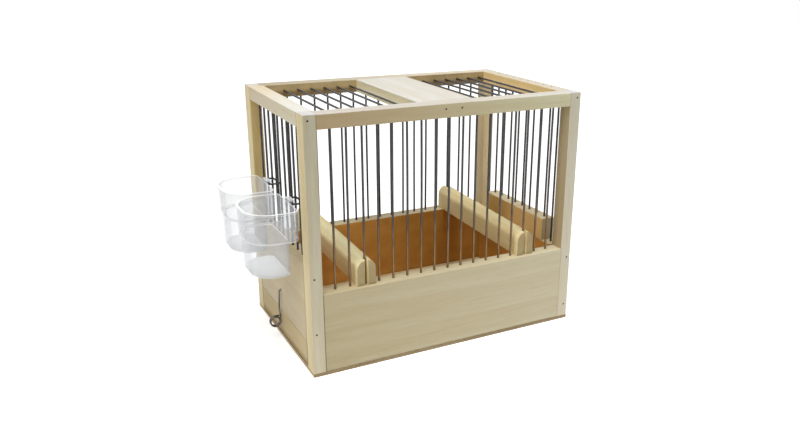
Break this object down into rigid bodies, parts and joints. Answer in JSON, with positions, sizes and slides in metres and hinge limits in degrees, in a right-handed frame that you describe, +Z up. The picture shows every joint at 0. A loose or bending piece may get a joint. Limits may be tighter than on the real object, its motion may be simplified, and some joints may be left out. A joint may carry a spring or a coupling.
{
  "type": "songbird cage",
  "caption": "Small wooden songbird cage with wire bars, a lifting end door, arched perches, a pull-out tray with a spring-wire catch, and clear hanging cups.",
  "frame": {"origin": "underside of the floor sheet, at the centre of the frame's footprint", "axes": "+X from the cups to the door, +Y to the rear, +Z up"},
  "size_m": [0.2795, 0.15, 0.205],
  "materials": {
    "light_wood": "planed pale softwood",
    "brown_hardboard": "brown hardboard",
    "steel_wire": "drawn dark steel wire",
    "clear_plastic": "clear moulded plastic"
  },
  "bodies": {
    "frame": {"front_left_post": "light_wood", "front_right_post": "light_wood", "rear_left_post": "light_wood", "rear_right_post": "light_wood", "front_panel": "light_wood", "rear_panel": "light_wood", "left_panel": "light_wood", "right_panel": "light_wood", "front_top_rail": "light_wood", "rear_top_rail": "light_wood", "left_top_rail": "light_wood", "right_top_rail": "light_wood", "roof_board": "light_wood", "floor_sheet": "brown_hardboard", "front_bars": "steel_wire", "rear_bars": "steel_wire", "left_bars": "steel_wire", "door_guide_front": "steel_wire", "door_guide_rear": "steel_wire", "top_rods_left": "steel_wire", "top_rods_right": "steel_wire", "front_cup_hanger": "steel_wire", "rear_cup_hanger": "steel_wire", "frame_nails": "steel_wire"},
    "door": {"door_rail": "light_wood", "door_bars": "steel_wire"},
    "left_perch": {"left_perch": "light_wood"},
    "right_perch": {"right_perch": "light_wood"},
    "tray": {"tray_front": "light_wood", "tray_bottom": "brown_hardboard", "tray_front_side": "light_wood", "tray_rear_side": "light_wood", "tray_back": "light_wood"},
    "catch": {"tray_catch": "steel_wire"},
    "front_cup": {"front_cup": "clear_plastic"},
    "rear_cup": {"rear_cup": "clear_plastic"}
  },
  "joints": [
    {"name": "door_lift", "type": "slide", "parent": "frame", "child": "door", "axis": [0, 0, 1], "range_m": [0, 0.105]},
    {"name": "left_perch_lift", "type": "slide", "parent": "frame", "child": "left_perch", "axis": [0, 0, 1], "range_m": [0, 0.1]},
    {"name": "right_perch_lift", "type": "slide", "parent": "frame", "child": "right_perch", "axis": [0, 0, 1], "range_m": [0, 0.1]},
    {"name": "tray_slide", "type": "slide", "parent": "frame", "child": "tray", "axis": [-1, 0, 0], "range_m": [0, 0.2]},
    {"name": "catch_spring", "type": "hinge", "parent": "tray", "child": "catch", "pos_m": [-0.12, 0.00668, 0.0191], "axis": [0, -1, 0], "range_deg": [0, 8], "stiffness_Nm_per_rad": 0.01},
    {"name": "front_cup_lift", "type": "slide", "parent": "frame", "child": "front_cup", "axis": [0, 0, 1], "range_m": [0, 0.05]},
    {"name": "rear_cup_lift", "type": "slide", "parent": "frame", "child": "rear_cup", "axis": [0, 0, 1], "range_m": [0, 0.05]}
  ]
}
